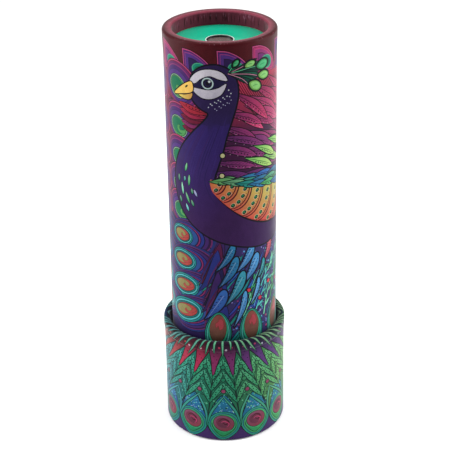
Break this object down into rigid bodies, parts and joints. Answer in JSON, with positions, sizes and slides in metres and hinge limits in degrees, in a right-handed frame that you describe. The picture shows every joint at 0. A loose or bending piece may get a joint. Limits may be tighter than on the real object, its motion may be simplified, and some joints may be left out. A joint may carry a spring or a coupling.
{
  "type": "kaleidoscope",
  "caption": "Card-tube kaleidoscope with an eye hole, a mirror prism and a turning printed sleeve that carries a chamber of loose beads.",
  "frame": {"origin": "centre of the base ring's underside, where the tube's axis meets the surface it stands on", "axes": "+Z along the tube, up to the eyepiece; +X to the right and +Y to the back as the printed bird faces -Y"},
  "size_m": [0.0586, 0.0586, 0.2],
  "materials": {
    "card": "matte",
    "grey_card": "matte",
    "tube_print": "satin",
    "sleeve_print": "satin",
    "green_disc": "gloss",
    "bezel_plastic": "gloss",
    "clear_plastic": "clear",
    "mirror": "polished",
    "felt": "matte",
    "white_plastic": "matte",
    "frosted_plastic": "frosted",
    "bead_red": "gloss",
    "bead_gold": "gloss",
    "bead_blue": "gloss",
    "sequin_pink": "gloss",
    "sequin_green": "gloss",
    "gem_violet": "clear",
    "chip_orange": "clear"
  },
  "bodies": {
    "tube": {"tube_core": "card", "tube_wrap": "tube_print", "rim_liner": "card", "eyepiece_disc": "green_disc", "eye_bezel": "bezel_plastic", "eye_window": "clear_plastic", "eyepiece_ring": "card", "mirror_front": "mirror", "mirror_left": "mirror", "mirror_right": "mirror", "mirror_jacket": "grey_card", "upper_prism_ring": "card", "lower_prism_ring": "card", "end_window": "clear_plastic", "end_window_ring": "card", "tube_collar": "card"},
    "sleeve": {"sleeve_core": "card", "sleeve_wrap": "sleeve_print", "stop_ring": "card", "felt_ring": "felt", "cover_ring": "card", "chamber_cover": "clear_plastic", "chamber_wall": "white_plastic", "diffuser_disc": "frosted_plastic", "base_ring": "card"},
    "round_beads": {"round_beads": "bead_red"},
    "ring_beads": {"ring_beads": "bead_gold"},
    "bugle_beads": {"bugle_beads": "bead_blue"},
    "star_sequins": {"star_sequins": "sequin_pink"},
    "petal_sequins": {"petal_sequins": "sequin_green"},
    "cut_gems": {"cut_gems": "gem_violet"},
    "prism_chips": {"prism_chips": "chip_orange"}
  },
  "joints": [
    {"name": "sleeve_turn", "type": "hinge", "parent": "tube", "child": "sleeve", "pos_m": [0, 0, 0.0275], "axis": [0, 0, 1], "continuous": true},
    {"name": "round_beads_hop", "type": "slide", "parent": "sleeve", "child": "round_beads", "axis": [0, 0, 1], "range_m": [0, 0.0025]},
    {"name": "ring_beads_hop", "type": "slide", "parent": "sleeve", "child": "ring_beads", "axis": [0, 0, 1], "range_m": [0, 0.0042]},
    {"name": "bugle_beads_hop", "type": "slide", "parent": "sleeve", "child": "bugle_beads", "axis": [0, 0, 1], "range_m": [0, 0.0046]},
    {"name": "star_sequins_hop", "type": "slide", "parent": "sleeve", "child": "star_sequins", "axis": [0, 0, 1], "range_m": [0, 0.0062]},
    {"name": "petal_sequins_hop", "type": "slide", "parent": "sleeve", "child": "petal_sequins", "axis": [0, 0, 1], "range_m": [0, 0.0062]},
    {"name": "cut_gems_hop", "type": "slide", "parent": "sleeve", "child": "cut_gems", "axis": [0, 0, 1], "range_m": [0, 0.0042]},
    {"name": "prism_chips_hop", "type": "slide", "parent": "sleeve", "child": "prism_chips", "axis": [0, 0, 1], "range_m": [0, 0.0053]}
  ]
}
